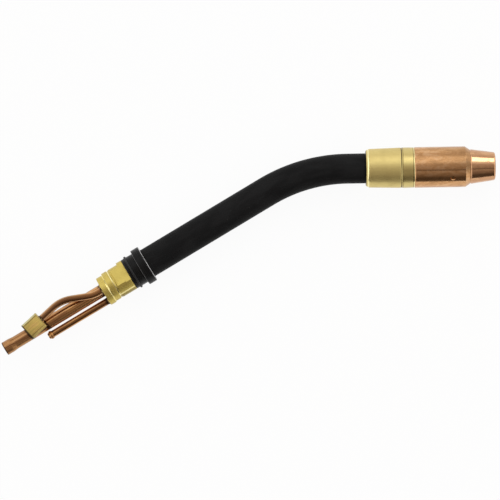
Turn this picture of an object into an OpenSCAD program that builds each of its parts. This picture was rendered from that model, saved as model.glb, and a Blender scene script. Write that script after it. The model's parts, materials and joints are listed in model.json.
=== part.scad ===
// Neck assembly of a water-cooled MIG welding torch.
// The row frame: +X forward along the axis of the handle collar, +Y away from the side the neck
// bends to, +Z up. The origin is on the collar's axis, in the rear face of its flange. The neck's
// two axes lie in the plane Z = 0.

/* [Neck] */
// Angle that the neck turns through
bend_angle = 30; // [15:1:45]
// Radius of the neck's centre line in the bend
bend_radius = 120; // [90:1:160]
// Straight run from the collar's flange to the start of the bend
rear_straight = 109.2; // [80:0.1:160]
// Straight run from the end of the bend to the head
front_straight = 13.5; // [11:0.5:40]
// Wall of the black neck sleeve
sleeve_wall = 1.2; // [0.8:0.1:1.6]
// Air between the tube bundle and the inside of the sleeve
sleeve_room = 0.3; // [0.2:0.05:0.8]

/* [Wire and gas tube] */
// Outer diameter of the copper tube that carries the wire, the gas and the current
wire_tube_d = 9.5; // [8.5:0.1:10.5]
// Wall of that tube
wire_tube_wall = 1.6; // [1.2:0.1:1.8]
// Length of that tube behind the tube plate
tail_len = 84.4; // [78:0.1:110]
// Length of the widened socket at its rear end
socket_len = 6.6; // [4:0.1:10]
// How much the socket is widened, on the radius
socket_step = 0.4; // [0.2:0.05:0.8]
// Outer diameter of the spiral wire liner
liner_d = 4.6; // [4:0.1:5]
// Bore of the liner
liner_bore = 2.2; // [1.6:0.1:2.6]

/* [Coolant tubes] */
// Outer diameter of the coolant tubes inside the neck
inner_water_d = 4.8; // [4:0.1:5.4]
// Outer diameter of the coolant tubes behind the manifold
outer_water_d = 5.2; // [4.4:0.1:5.6]
// Wall of every coolant tube
water_wall = 0.8; // [0.6:0.05:1]
// Space between the supply tube and the wire tube behind the manifold
supply_gap = 1.4; // [0.8:0.05:1.6]
// Length of the supply tube behind the tube plate
supply_len = 51.8; // [40:0.1:60]
// Radius of the hose bead on the supply tube's end
bead_r = 3.15; // [3:0.05:3.6]
// Length of the bead's round land
bead_land = 1.4; // [1:0.1:2]
// First straight of the return tube, behind the tube plate
return_lead = 3; // [2:0.1:8]
// Angle at which the return tube swings out from the wire tube
return_swing = 22; // [16:1:30]
// Radius of the return tube's first bend
return_bend_1 = 22; // [18:0.5:26]
// Straight between the return tube's two bends
return_cross = 12.8; // [6:0.1:14]
// Radius of the return tube's second bend
return_bend_2 = 25; // [20:0.5:30]
// Last straight of the return tube, up to the power block
return_tail = 12.4; // [8:0.1:15]

/* [Power block] */
// Angle at which the block lies across the wire tube
block_tilt = 12; // [8:1:16]
// Length of the block along the return tube
block_len = 13.8; // [12.5:0.1:15]
// Width of the block
block_w = 12.9; // [12:0.1:14]
// Height of the block
block_h = 13; // [12:0.1:14]
// How far the block is set off the return tube's axis, towards the wire tube
block_shift = 0.3; // [0:0.05:0.8]
// Bevel on the block's long edges
block_bevel = 1.6; // [0.4:0.1:2]
// Root diameter of the threaded port for the power cable
port_d = 7; // [6:0.1:7.4]
// Depth of that port
port_depth = 5.2; // [4.6:0.1:5.6]

/* [Collar] */
// Wall of the collar's barrel
collar_wall = 1.72; // [1.5:0.01:2.6]
// Length of the barrel
barrel_len = 9.5; // [9:0.1:14]
// How far the flange stands out from the barrel
flange_step = 2.2; // [1:0.1:5]
// Length of the flange
flange_len = 6.5; // [5.5:0.1:10]
// Length of the neck sleeve that the flange holds
sleeve_grip = 4.5; // [3:0.1:5]
// Thickness of the rubber ring on the barrel
ring_cord = 1.8; // [1.4:0.05:2.2]
// Depth of that ring's groove
ring_groove = 0.7; // [0.4:0.05:0.9]
// Distance from the barrel's rear end to the middle of the ring
ring_inset = 3.4; // [2:0.1:4.5]

/* [Manifold] */
// Wall of the manifold's spigot outside the coolant tubes
spigot_wall = 0.7; // [0.5:0.05:1]
// Length of the full-size shoulder behind the collar
shoulder_len = 4.2; // [3:0.1:6]
// Length of the rear body behind the shoulder
body_len = 13.6; // [12.8:0.1:18]
// How much smaller the rear body is than the shoulder, on the radius
body_step = 0.6; // [0.3:0.01:0.8]
// Width across the two wrench flats
flats_w = 18.8; // [18.4:0.1:20]
// Turn of the wrench flats about the neck's axis
flats_turn = -22; // [-40:1:0]
// Length of the round band at the rear end of the body
band_len = 4.2; // [3:0.1:5]
// Width of the groove in front of the band
band_groove_w = 2; // [1:0.1:2.4]
// Depth of that groove
band_groove = 0.5; // [0.2:0.05:0.8]
// Length of the tube plate
plate_len = 4.8; // [3.5:0.1:8]
// How much smaller the tube plate is than the rear body, on the radius
plate_step = 0.2; // [0.1:0.05:0.4]
// Distance from the neck's axis to the tube plate's axis
plate_shift = 1.4; // [1:0.1:1.6]

/* [Head] */
// Length of the brass head
head_len = 26.2; // [23:0.1:36]
// How much thicker the head is at its front end, on the radius
head_taper = 0.6; // [0.2:0.1:1]
// Length of the chamfer on the head's rear edge
head_chamfer_len = 2.2; // [1:0.1:3]
// Height of that chamfer
head_chamfer = 1.4; // [0.6:0.1:2]
// Bore of the coolant channels in the head
channel_d = 2.6; // [2:0.1:3]
// Wall between a channel and the diffuser's thread
channel_wall = 0.7; // [0.6:0.05:1.2]
// Wall outside the channels on the head's spigot
nose_wall = 1.2; // [1.15:0.05:1.6]
// Wall of the insulator between the head and the nozzle
insulator_wall = 1.87; // [1.5:0.01:2.6]
// Thickness of the insulator's rim
rim_len = 0.5; // [0.4:0.05:1.2]
// Length of the brass ring
ring_len = 9.4; // [7:0.05:14]
// How much smaller the ring is than the jacket, on the radius
ring_step = 0.1; // [0:0.05:0.4]
// Length of the thread that carries the jacket
jacket_thread_len = 6.2; // [5:0.1:9]

/* [Nozzle] */
// Length of the jacket's cylindrical outside
jacket_len = 37.5; // [33:0.1:50]
// Outer wall of the water jacket
jacket_wall = 1.45; // [1.2:0.05:2.2]
// Water space in the jacket
water_gap = 1.4; // [1.2:0.05:2.2]
// Wall of the jacket's inner sleeve
inner_sleeve_wall = 0.8; // [0.6:0.05:1.2]
// Length of the bevel at the jacket's front end
bevel_len = 3.4; // [3:0.1:6]
// Diameter of the blind hole for a pin spanner
spanner_d = 3; // [2:0.1:4]
// Depth of that hole
spanner_depth = 0.9; // [0.6:0.05:1]
// Distance from that hole to the bevel
spanner_inset = 9.6; // [6:0.1:14]
// Turn of that hole about the nozzle's axis
spanner_turn = 35; // [0:1:90]
// Length of the nozzle tip in front of the jacket
tip_len = 18.8; // [15:0.1:24]
// How much the tip's cone narrows, on the radius
tip_taper = 2.3; // [1.5:0.1:2.6]
// Wall of the tip at its front edge
tip_wall = 2.55; // [2:0.05:2.8]
// Radius of the round on the tip's front edge
tip_round = 1.5; // [0.8:0.1:1.6]
// Bore of the nozzle's mouth
mouth_d = 15.9; // [15:0.1:16.2]
// Wall of the tip's threaded end
tip_thread_wall = 2.6; // [2.2:0.1:2.8]

/* [Contact tip and diffuser] */
// Diameter of the diffuser's thread
diffuser_thread_d = 9.9; // [9:0.1:10.5]
// Length of that thread
diffuser_thread_len = 11; // [8:0.1:14]
// Length of the diffuser's body
diffuser_len = 19; // [17:0.1:22]
// Number of gas holes
gas_holes = 8; // [4:1:10]
// Diameter of the gas holes
gas_hole_d = 1.8; // [1.2:0.1:2.2]
// Diameter of the contact tip
contact_d = 10; // [9:0.1:11]
// Diameter of the contact tip's thread
contact_thread_d = 7.9; // [7:0.1:8.3]
// Length of the contact tip's thread
contact_thread_len = 9; // [7:0.1:10]
// Wire hole of the contact tip
wire_hole_d = 1.4; // [1:0.1:2]
// How far the contact tip stays behind the nozzle's mouth
contact_recess = 4.6; // [3:0.1:8]
// Width across the contact tip's wrench flats
contact_flats_w = 8.4; // [8:0.1:8.8]

/* [Fits] */
// Clearance on the radius of brazed and pressed joints
braze_gap = 0.03; // [0.02:0.01:0.05]
// Clearance on the radius of threads and sliding seats
thread_gap = 0.05; // [0.03:0.01:0.08]
// Gap between end faces that seat on each other
face_gap = 0.05; // [0.02:0.01:0.1]
// Space between the wire tube and the coolant tubes beside it
bundle_gap = 0.05; // [0.05:0.01:0.1]
// Clearance on the radius of the diffuser as it is drawn out through the mouth
draw_gap = 0.55; // [0.3:0.05:1]

/* [Hidden] */
$fn = 64;
BRASS = "#c8b264";
COPPER = "#b87a50";
BLACK = "#232323";
STEEL = "#8d8f92";
RESIN = "#5a3a28";
SILVER = "#c9b48c";
// How far a cut runs past the face that it opens
TINY = 0.5;
// Small bevels on the edges of turned pieces
edge = 0.3;
wide_edge = 0.5;
// A bend reaches this far into the straights at its ends, and is this much thinner, so that the
// surfaces meet in a clean edge
lap = 0.5;
lap_step = 0.02;

// Tube bundle, from the wire tube outwards
wire_tube_r = wire_tube_d / 2;
wire_bore_r = wire_tube_r - wire_tube_wall;
socket_r = wire_tube_r + socket_step;
inner_water_r = inner_water_d / 2;
outer_water_r = outer_water_d / 2;
bundle_pos = wire_tube_r + bundle_gap + inner_water_r;
bundle_reach = bundle_pos + inner_water_r;
sleeve_in_r = bundle_reach + sleeve_room;
neck_r = sleeve_in_r + sleeve_wall;

// Collar and manifold, rearwards from the flange
stub_depth = 3.8;
flats_land = 0.5;
inner_inset = 1.5;
spigot_r = bundle_reach + spigot_wall;
collar_bore_r = spigot_r + braze_gap;
barrel_r = collar_bore_r + collar_wall;
flange_r = barrel_r + flange_step;
sleeve_start = flange_len - sleeve_grip;
spigot_end = sleeve_start - face_gap;
ring_x = ring_inset - barrel_len;
ring_pos = barrel_r - ring_groove + ring_cord / 2;
shoulder_x = -barrel_len - face_gap;
body_x = shoulder_x - shoulder_len;
body_end = body_x - body_len;
body_r = barrel_r - body_step;
flats_end = body_end + band_len + band_groove_w + flats_land;
plate_x = body_end - face_gap;
plate_end = plate_x - plate_len;
plate_r = body_r - plate_step;
tail_end = plate_end - tail_len;
supply_y = -(wire_tube_r + supply_gap + outer_water_r);
return_z = wire_tube_r + bundle_gap + outer_water_r;
supply_end = plate_end - supply_len;
stub_start = body_end + stub_depth;
inner_start = -barrel_len + inner_inset;
passage_r = inner_water_r - water_wall;

// Head and nozzle, forwards from the head's rear face
bend_x = rear_straight;
sleeve_socket = 5;
wire_socket = 17;
water_socket = 13;
nose_len = 5.5;
insulator_lap = 8;
nose_seat_inset = 3.8;
nose_seat_len = 2;
end_land = 0.2;
thread_relief = 0.4;
head_step = 0.1;
rim_step = 0.3;
jacket_thread_depth = 0.6;
diffuser_thread_r = diffuser_thread_d / 2;
channel_r = channel_d / 2;
channel_pos = diffuser_thread_r + thread_gap + channel_wall + channel_r;
nose_r = channel_pos + channel_r + nose_wall;
insulator_in_r = nose_r + braze_gap;
insulator_r = insulator_in_r + insulator_wall;
inner_sleeve_in_r = insulator_r + braze_gap;
inner_sleeve_r = inner_sleeve_in_r + inner_sleeve_wall;
water_bore_r = inner_sleeve_r + water_gap;
jacket_r = water_bore_r + jacket_wall;
ring_r = jacket_r - ring_step;
head_front_r = ring_r - head_step;
head_rear_r = head_front_r - head_taper;
rim_r = ring_r - rim_step;
rim_end = head_len + rim_len;
ring_end = rim_end + ring_len;
jacket_thread_r = water_bore_r - jacket_thread_depth;
thread_end = ring_end + jacket_thread_len;
port_x = thread_end + channel_r + end_land;
inner_sleeve_x = port_x + channel_r + end_land;
nose_end = port_x + channel_r + nose_len;
insulator_end = inner_sleeve_x + insulator_lap;
jacket_x = ring_end + face_gap;
bevel_x = jacket_x + jacket_len;
jacket_end = bevel_x + bevel_len;
nose_seat_x = bevel_x - nose_seat_inset;
tip_thread_x = nose_seat_x + nose_seat_len;
tip_x = jacket_end + face_gap;
mouth_x = tip_x + tip_len;
mouth_r = mouth_d / 2;
tip_thread_r = mouth_r + tip_thread_wall;
tip_front_r = mouth_r + tip_wall;
tip_base_r = tip_front_r + tip_taper;

// Diffuser and contact tip
diffuser_wall = 1.9;
diffuser_cone = 3;
diffuser_step = 1;
gas_hole_inset = 5;
contact_nose = 4;
contact_nose_step = 1.7;
contact_flats_len = 6;
contact_flats_land = 1;
contact_funnel = 1.2;
liner_gap = 2.5;
diffuser_x = nose_end + face_gap;
diffuser_end = diffuser_x + diffuser_len;
diffuser_r = mouth_r - draw_gap;
diffuser_bore_r = diffuser_thread_r - diffuser_wall;
gas_hole_x = diffuser_x + gas_hole_inset;
contact_r = contact_d / 2;
contact_thread_r = contact_thread_d / 2;
contact_x = diffuser_end + face_gap;
contact_end = mouth_x - contact_recess;
contact_flats_x = contact_end - contact_nose - contact_flats_land - contact_flats_len;
liner_end = diffuser_end - contact_thread_len - liner_gap;

// Small rubber rings inside the nozzle joint
seal_cord = 1;
seal_land = 1.8;
seal_drop = 0.02;
head_seals = [port_x - channel_r - seal_land, port_x + channel_r + seal_land];
ring_seal_inset = 6.4;
sleeve_seal_inset = 4.2;
jacket_seal_inset = 1.4;
insulator_seals = [rim_end + ring_seal_inset, inner_sleeve_x + sleeve_seal_inset];
jacket_seal_x = ring_end + jacket_seal_inset;
jacket_seal_pos = jacket_thread_r + braze_gap - seal_cord / 2;

// A round bar along X from x0 to x1
module rod(x0, x1, r) translate([x0, 0, 0]) rotate([0, 90, 0]) cylinder(h = x1 - x0, r = r);

// A cone along X from radius r0 at x0 to r1 at x1
module cone(x0, x1, r0, r1) translate([x0, 0, 0]) rotate([0, 90, 0])
    cylinder(h = x1 - x0, r1 = r0, r2 = r1);

// A solid turned about X; its outline is a list of [radius, x]
module turned(outline) rotate([0, 90, 0]) rotate_extrude() polygon(outline);

// A rubber ring about X: its cord's centre at radius r, at x
module cord_ring(x, r, cord) translate([x, 0, 0]) rotate([0, 90, 0]) rotate_extrude()
    translate([r, 0]) circle(d = cord, $fn = 32);

// An arc that starts along +X and turns right (towards -Y) or left about its own centre;
// side moves the bar sideways, away from the centre of a right turn
function lap_angle(radius) = lap / radius * 180 / PI;
module arc(radius, angle, r) rotate([0, 0, -lap_angle(radius)])
    rotate_extrude(angle = angle + 2 * lap_angle(radius)) translate([radius, 0])
        circle(r = r - lap_step);
module arc_right(radius, angle, r, side = 0) translate([0, -radius, 0]) rotate([0, 0, 90 - angle])
    arc(radius + side, angle, r);
module arc_left(radius, angle, r) translate([0, radius, 0]) rotate([0, 0, -90])
    arc(radius, angle, r);

// Frames at the far end of such arcs
module after_right(radius, angle) translate([radius * sin(angle), -radius * (1 - cos(angle)), 0])
    rotate([0, 0, -angle]) children();
module after_left(radius, angle) translate([radius * sin(angle), radius * (1 - cos(angle)), 0])
    rotate([0, 0, angle]) children();

module front_frame() translate([bend_x, 0, 0]) after_right(bend_radius, bend_angle) children();
module head_frame() front_frame() translate([front_straight, 0, 0]) children();

// A bar that follows the neck from x0 in the rear straight to x1 in front of the bend,
// y and z off the neck's axis
module neck_run(x0, x1, r, y = 0, z = 0) {
    translate([0, y, z]) rod(x0, bend_x, r);
    translate([bend_x, 0, z]) arc_right(bend_radius, bend_angle, r, y);
    front_frame() translate([0, y, z]) rod(0, x1, r);
}

module neck_sleeve() color(BLACK) difference() {
    neck_run(sleeve_start, front_straight + sleeve_socket - face_gap, neck_r);
    neck_run(sleeve_start - TINY, front_straight + sleeve_socket + TINY, sleeve_in_r);
}

// The two places of the coolant tubes beside the wire tube: [y, z]
water_places = [[-bundle_pos, 0], [0, bundle_pos]];

spacer_len = 5;
first_spacer = 32;
bend_spacer = 8;
nose_spacer = 2;
module spacer_disc() difference() {
    rod(0, spacer_len, sleeve_in_r - thread_gap);
    rod(-TINY, spacer_len + TINY, wire_tube_r + braze_gap);
    for (p = water_places) translate([0, p[0], p[1]])
        rod(-TINY, spacer_len + TINY, inner_water_r + braze_gap);
}

module tube_spacers() color(RESIN) {
    for (x = [first_spacer, bend_x - bend_spacer - spacer_len]) translate([x, 0, 0]) spacer_disc();
    front_frame() translate([nose_spacer, 0, 0]) spacer_disc();
}

// The widened rear end, and how far the liner and its bush stay inside it
socket_wall = 1.2;
socket_bore_r = socket_r - socket_wall;
socket_mouth = 0.7;
socket_cone = 1.5;
liner_inset = 2;
bush_inset = 1.5;
bush_nose = 6;
module wire_gas_tube() color(COPPER) difference() {
    union() {
        neck_run(tail_end, front_straight + wire_socket - face_gap, wire_tube_r);
        rod(tail_end, tail_end + socket_len, socket_r);
        cone(tail_end + socket_len, tail_end + socket_len + socket_cone, socket_r, wire_tube_r);
    }
    neck_run(tail_end - TINY, front_straight + wire_socket + TINY, wire_bore_r);
    rod(tail_end - TINY, tail_end + socket_len, socket_bore_r);
    cone(tail_end - face_gap, tail_end + wide_edge, socket_bore_r + socket_mouth, socket_bore_r);
}

module wire_liner() color(STEEL) difference() {
    neck_run(tail_end + liner_inset, front_straight + liner_end, liner_d / 2);
    neck_run(tail_end, front_straight + liner_end + TINY, liner_bore / 2);
}

module liner_bush() color(BRASS) difference() {
    union() {
        rod(tail_end + bush_inset, tail_end + socket_len - face_gap, socket_bore_r - braze_gap);
        rod(tail_end + socket_len - TINY, tail_end + socket_len + bush_nose, wire_bore_r - braze_gap);
    }
    rod(tail_end, tail_end + socket_len + bush_nose + TINY, liner_d / 2 + braze_gap);
}

module inner_water_tube(place) color(COPPER) difference() {
    neck_run(inner_start + face_gap, front_straight + water_socket - face_gap, inner_water_r,
        place[0], place[1]);
    neck_run(inner_start - TINY, front_straight + water_socket + TINY, passage_r,
        place[0], place[1]);
}

module inner_supply_tube() inner_water_tube(water_places[0]);
module inner_return_tube() inner_water_tube(water_places[1]);

module mount_collar() color(BLACK) difference() {
    turned([[collar_bore_r, -barrel_len], [barrel_r - edge, -barrel_len],
        [barrel_r, -barrel_len + edge], [barrel_r, 0], [flange_r - edge, 0], [flange_r, edge],
        [flange_r, flange_len - wide_edge], [flange_r - wide_edge, flange_len],
        [neck_r + braze_gap, flange_len], [neck_r + braze_gap, sleeve_start],
        [collar_bore_r, sleeve_start]]);
    cord_ring(ring_x, ring_pos, ring_cord + 2 * braze_gap);
}

module collar_ring() color(BLACK) cord_ring(ring_x, ring_pos, ring_cord);

// Holes that the manifold and the tube plate share: [y, z, radius]
stub_places = [[supply_y, 0, outer_water_r], [0, return_z, outer_water_r]];

module manifold_blank() {
    rod(shoulder_x, spigot_end, spigot_r);
    turned([[0, body_x], [barrel_r, body_x], [barrel_r, shoulder_x - edge],
        [barrel_r - edge, shoulder_x], [0, shoulder_x]]);
    translate([0, -body_step, 0]) turned([[0, body_end], [body_r - edge, body_end],
        [body_r, body_end + edge], [body_r, body_end + band_len - edge],
        [body_r - band_groove, body_end + band_len],
        [body_r - band_groove, body_end + band_len + band_groove_w],
        [body_r, body_end + band_len + band_groove_w], [body_r, body_x], [0, body_x]]);
}

// Two parallel wrench flats, from the groove to the collar
module wrench_flats() translate([0, -body_step, 0]) rotate([flats_turn, 0, 0])
    for (side = [0, 180]) rotate([side, 0, 0])
        translate([flats_end, -2 * barrel_r, flats_w / 2])
            cube([shoulder_x - flats_end + face_gap / 2, 4 * barrel_r, barrel_r]);

module manifold() color(BRASS) difference() {
    manifold_blank();
    wrench_flats();
    rod(body_end - TINY, spigot_end + TINY, wire_tube_r + braze_gap);
    for (i = [0, 1]) {
        stub = stub_places[i];
        place = water_places[i];
        middle = (stub + [place[0], place[1], 0]) / 2;
        translate([0, stub[0], stub[1]]) rod(body_end - TINY, stub_start, stub[2] + braze_gap);
        translate([0, place[0], place[1]])
            rod(inner_start, spigot_end + TINY, inner_water_r + braze_gap);
        translate([0, middle[0], middle[1]]) rod(stub_start - 1, inner_start + 1, passage_r);
    }
}

module tube_plate() color(BRASS) difference() {
    translate([0, -plate_shift, 0]) turned([[0, plate_end], [plate_r - wide_edge, plate_end],
        [plate_r, plate_end + wide_edge], [plate_r, plate_x - edge], [plate_r - edge, plate_x],
        [0, plate_x]]);
    rod(plate_end - TINY, plate_x + TINY, wire_tube_r + braze_gap);
    for (p = stub_places) translate([0, p[0], p[1]])
        rod(plate_end - TINY, plate_x + TINY, p[2] + braze_gap);
}

// Its hose end: a tapered mouth, then a bead with a slope on each side
supply_taper = 1;
bead_slope = 0.6;
bead_x = supply_end + supply_taper + bead_slope;
module supply_tube() color(COPPER) translate([0, supply_y, 0]) difference() {
    union() {
        rod(supply_end + supply_taper, stub_start - face_gap, outer_water_r);
        cone(supply_end, supply_end + supply_taper, outer_water_r - wide_edge, outer_water_r);
        cone(bead_x - bead_slope, bead_x, outer_water_r, bead_r);
        rod(bead_x, bead_x + bead_land, bead_r);
        cone(bead_x + bead_land, bead_x + bead_land + bead_slope, bead_r, outer_water_r);
    }
    rod(supply_end - TINY, stub_start, outer_water_r - water_wall);
}

// The return tube's path behind the tube plate, drawn towards -X: each frame starts where the
// stretch before it ends
module return_frame() translate([plate_end - return_lead, 0, return_z]) mirror([1, 0, 0])
    children();
module cross_frame() return_frame() after_left(return_bend_1, return_swing) children();
module second_frame() cross_frame() translate([return_cross, 0, 0]) children();
module tail_frame() second_frame() after_right(return_bend_2, return_swing + block_tilt)
    children();
module block_frame() tail_frame() translate([return_tail, 0, 0]) children();

module return_run(r, extra) {
    translate([0, 0, return_z]) rod(plate_end - return_lead, stub_start - face_gap + extra, r);
    return_frame() arc_left(return_bend_1, return_swing, r);
    cross_frame() rod(0, return_cross, r);
    second_frame() arc_right(return_bend_2, return_swing + block_tilt, r);
    tail_frame() rod(0, return_tail + block_socket - face_gap + extra, r);
}

block_socket = 4.5;
module return_tube() color(COPPER) difference() {
    return_run(outer_water_r, 0);
    return_run(outer_water_r - water_wall, TINY);
}

// A square bar with four bevelled edges, along the return tube, saddled on the wire tube; its
// port opens on the side away from the wire tube, behind the tube's socket
block_rise = 0.1;
port_land = 0.6;
cable_port_x = block_socket + port_land + port_d / 2;
port_floor = block_w / 2 - block_shift - port_depth;
module power_block() color(BRASS) difference() {
    block_frame() difference() {
        translate([0, -block_shift, block_rise]) rotate([90, 0, 90]) linear_extrude(block_len)
            polygon(bevelled(block_w, block_h, block_bevel));
        rod(-TINY, block_socket, outer_water_r + braze_gap);
        rod(0, cable_port_x, passage_r);
        translate([cable_port_x, port_floor, 0]) rotate([-90, 0, 0])
            cylinder(h = port_depth + TINY, d = port_d);
        translate([cable_port_x, 0, 0]) rotate([-90, 0, 0])
            cylinder(h = port_floor + TINY, r = passage_r);
    }
    rod(tail_end, plate_end, wire_tube_r + braze_gap);
}
function bevelled(w, h, b) = [[-w / 2 + b, -h / 2], [w / 2 - b, -h / 2], [w / 2, -h / 2 + b],
    [w / 2, h / 2 - b], [w / 2 - b, h / 2], [-w / 2 + b, h / 2], [-w / 2, h / 2 - b],
    [-w / 2, -h / 2 + b]];

// Brazing metal in the corners where the tubes leave the tube plate and enter the block
fillet = 0.8;
fillet_toe = 0.1;
module braze_fillets() color(SILVER) {
    difference() {
        union() {
            cone(plate_end - fillet, plate_end, wire_tube_r + fillet_toe, wire_tube_r + fillet);
            for (p = stub_places) translate([0, p[0], p[1]])
                cone(plate_end - fillet, plate_end, p[2] + fillet_toe, p[2] + fillet);
        }
        rod(plate_end - 2 * fillet, plate_end + TINY, wire_tube_r + braze_gap);
        for (p = stub_places) translate([0, p[0], p[1]])
            rod(plate_end - 2 * fillet, plate_end + TINY, p[2] + braze_gap);
    }
    block_frame() difference() {
        cone(-fillet, 0, outer_water_r + fillet_toe, outer_water_r + fillet);
        rod(-2 * fillet, TINY, outer_water_r + braze_gap);
    }
}

module head_body() color(BRASS) head_frame() difference() {
    turned([[neck_r + braze_gap, 0], [head_rear_r - head_chamfer, 0],
        [head_rear_r, head_chamfer_len], [head_front_r, head_len - edge],
        [head_front_r - edge, head_len], [nose_r, head_len], [nose_r, nose_end],
        [diffuser_thread_r + thread_gap, nose_end],
        [diffuser_thread_r + thread_gap, nose_end - diffuser_thread_len],
        [wire_bore_r, nose_end - diffuser_thread_len], [wire_bore_r, wire_socket],
        [wire_tube_r + braze_gap, wire_socket], [wire_tube_r + braze_gap, sleeve_socket],
        [neck_r + braze_gap, sleeve_socket]]);
    for (p = water_places) {
        turn = p[0] == 0 ? 0 : 90;
        translate([0, p[0], p[1]])
            rod(sleeve_socket - TINY, water_socket, inner_water_r + braze_gap);
        rotate([turn, 0, 0]) translate([0, 0, channel_pos])
            rod(water_socket - 1, port_x, channel_r);
        rotate([turn, 0, 0]) translate([port_x, 0, channel_pos]) cylinder(h = nose_r, r = channel_r);
    }
    for (x = head_seals) cord_ring(x, insulator_in_r - seal_cord / 2, seal_cord + 2 * braze_gap);
}

module nozzle_insulator() color(RESIN) head_frame() difference() {
    turned([[insulator_in_r, head_len + face_gap], [rim_r, head_len + face_gap],
        [rim_r, rim_end - face_gap], [insulator_r, rim_end - face_gap],
        [insulator_r, insulator_end - wide_edge], [insulator_r - wide_edge, insulator_end],
        [insulator_in_r, insulator_end]]);
    for (turn = [0, 90]) rotate([turn, 0, 0]) translate([port_x, 0, nose_r / 2])
        cylinder(h = jacket_r, r = channel_r);
    for (x = insulator_seals)
        cord_ring(x, inner_sleeve_in_r - seal_cord / 2, seal_cord + 2 * braze_gap);
}

module head_seals() color(BLACK) head_frame()
    for (x = head_seals) cord_ring(x, insulator_in_r - seal_cord / 2, seal_cord);

module insulator_seals() color(BLACK) head_frame()
    for (x = insulator_seals) cord_ring(x, inner_sleeve_in_r - seal_cord / 2 - seal_drop, seal_cord);

module nozzle_ring() color(BRASS) head_frame() difference() {
    turned([[inner_sleeve_in_r, rim_end], [ring_r - edge, rim_end], [ring_r, rim_end + edge],
        [ring_r, ring_end - edge], [ring_r - edge, ring_end], [jacket_thread_r, ring_end],
        [jacket_thread_r, thread_end], [inner_sleeve_in_r, thread_end]]);
    cord_ring(jacket_seal_x, jacket_seal_pos, seal_cord + 2 * braze_gap);
}

module jacket_seal() color(BLACK) head_frame()
    cord_ring(jacket_seal_x, jacket_seal_pos, seal_cord);

module nozzle_jacket() color(COPPER) head_frame() difference() {
    turned([[jacket_thread_r + thread_gap, jacket_x], [jacket_r - edge, jacket_x],
        [jacket_r, jacket_x + edge], [jacket_r, bevel_x], [tip_base_r, jacket_end],
        [tip_thread_r + thread_gap, jacket_end], [tip_thread_r + thread_gap, tip_thread_x],
        [inner_sleeve_r + braze_gap, tip_thread_x], [inner_sleeve_r + braze_gap, nose_seat_x],
        [water_bore_r, nose_seat_x], [water_bore_r, thread_end + thread_relief],
        [jacket_thread_r + thread_gap, thread_end + thread_relief]]);
    rotate([spanner_turn, 0, 0]) translate([bevel_x - spanner_inset, 0, jacket_r - spanner_depth])
        cylinder(h = jacket_wall, d = spanner_d);
}

module jacket_inner_sleeve() color(COPPER) head_frame() turned([
    [inner_sleeve_in_r, inner_sleeve_x], [inner_sleeve_r, inner_sleeve_x],
    [inner_sleeve_r, tip_thread_x - face_gap], [inner_sleeve_in_r, tip_thread_x - face_gap]]);

// The tip's front edge is a quarter round; its cone starts behind a narrow groove
tip_groove = 0.5;
tip_funnel = 1.2;
tip_rear_x = tip_thread_x + face_gap;
module nozzle_tip() color(COPPER) head_frame() turned(concat(
    [[mouth_r, mouth_x], [mouth_r, tip_x], [mouth_r + tip_funnel, tip_rear_x],
        [tip_thread_r, tip_rear_x], [tip_thread_r, tip_x], [tip_base_r - edge, tip_x],
        [tip_base_r - edge, tip_x + tip_groove], [tip_base_r, tip_x + 2 * tip_groove]],
    [for (a = [0:15:90]) [tip_front_r - tip_round + tip_round * cos(a),
        mouth_x - tip_round + tip_round * sin(a)]]));

diffuser_rear_x = nose_end - diffuser_thread_len + edge;
module gas_diffuser() color(BRASS) head_frame() difference() {
    turned([[diffuser_bore_r, diffuser_rear_x], [diffuser_thread_r, diffuser_rear_x],
        [diffuser_thread_r, diffuser_x], [diffuser_r, diffuser_x],
        [diffuser_r, diffuser_end - diffuser_cone], [diffuser_r - diffuser_step, diffuser_end],
        [contact_thread_r + thread_gap, diffuser_end],
        [contact_thread_r + thread_gap, diffuser_end - contact_thread_len - thread_relief],
        [diffuser_bore_r, diffuser_end - contact_thread_len - thread_relief]]);
    for (i = [0:gas_holes - 1]) rotate([360 / gas_holes * i, 0, 0]) translate([gas_hole_x, 0, 0])
        cylinder(h = diffuser_r + 1, d = gas_hole_d);
}

module contact_tip() color(COPPER) head_frame() difference() {
    turned([[wire_hole_d / 2, contact_x - contact_thread_len + contact_funnel],
        [contact_thread_r - contact_funnel, contact_x - contact_thread_len],
        [contact_thread_r, contact_x - contact_thread_len], [contact_thread_r, contact_x],
        [contact_r - edge, contact_x], [contact_r, contact_x + edge],
        [contact_r, contact_end - contact_nose], [contact_r - contact_nose_step, contact_end],
        [wire_hole_d / 2, contact_end]]);
    for (side = [0, 180]) rotate([side, 0, 0])
        translate([contact_flats_x, -contact_r, contact_flats_w / 2])
            cube([contact_flats_len, contact_d, contact_r]);
}

neck_sleeve();
tube_spacers();
wire_gas_tube();
wire_liner();
liner_bush();
inner_supply_tube();
inner_return_tube();
mount_collar();
collar_ring();
manifold();
tube_plate();
supply_tube();
return_tube();
power_block();
braze_fillets();
head_body();
nozzle_insulator();
head_seals();
insulator_seals();
nozzle_ring();
jacket_seal();
nozzle_jacket();
jacket_inner_sleeve();
nozzle_tip();
gas_diffuser();
contact_tip();
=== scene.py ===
"""Looks of the MIG torch neck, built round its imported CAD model.

Lengths are in millimetres, and MM turns them into the frame's metres. A turned piece is first made straight,
along X. Its points keep those coordinates in the attribute "own", which the materials read, so drawing lines
and turning marks follow a bent tube too.
"""

import json
from math import atan2, ceil, copysign, cos, degrees, hypot, pi, radians, sin, tan
from statistics import mode

import bmesh
import bpy
from mathutils import Matrix, Vector, noise


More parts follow.
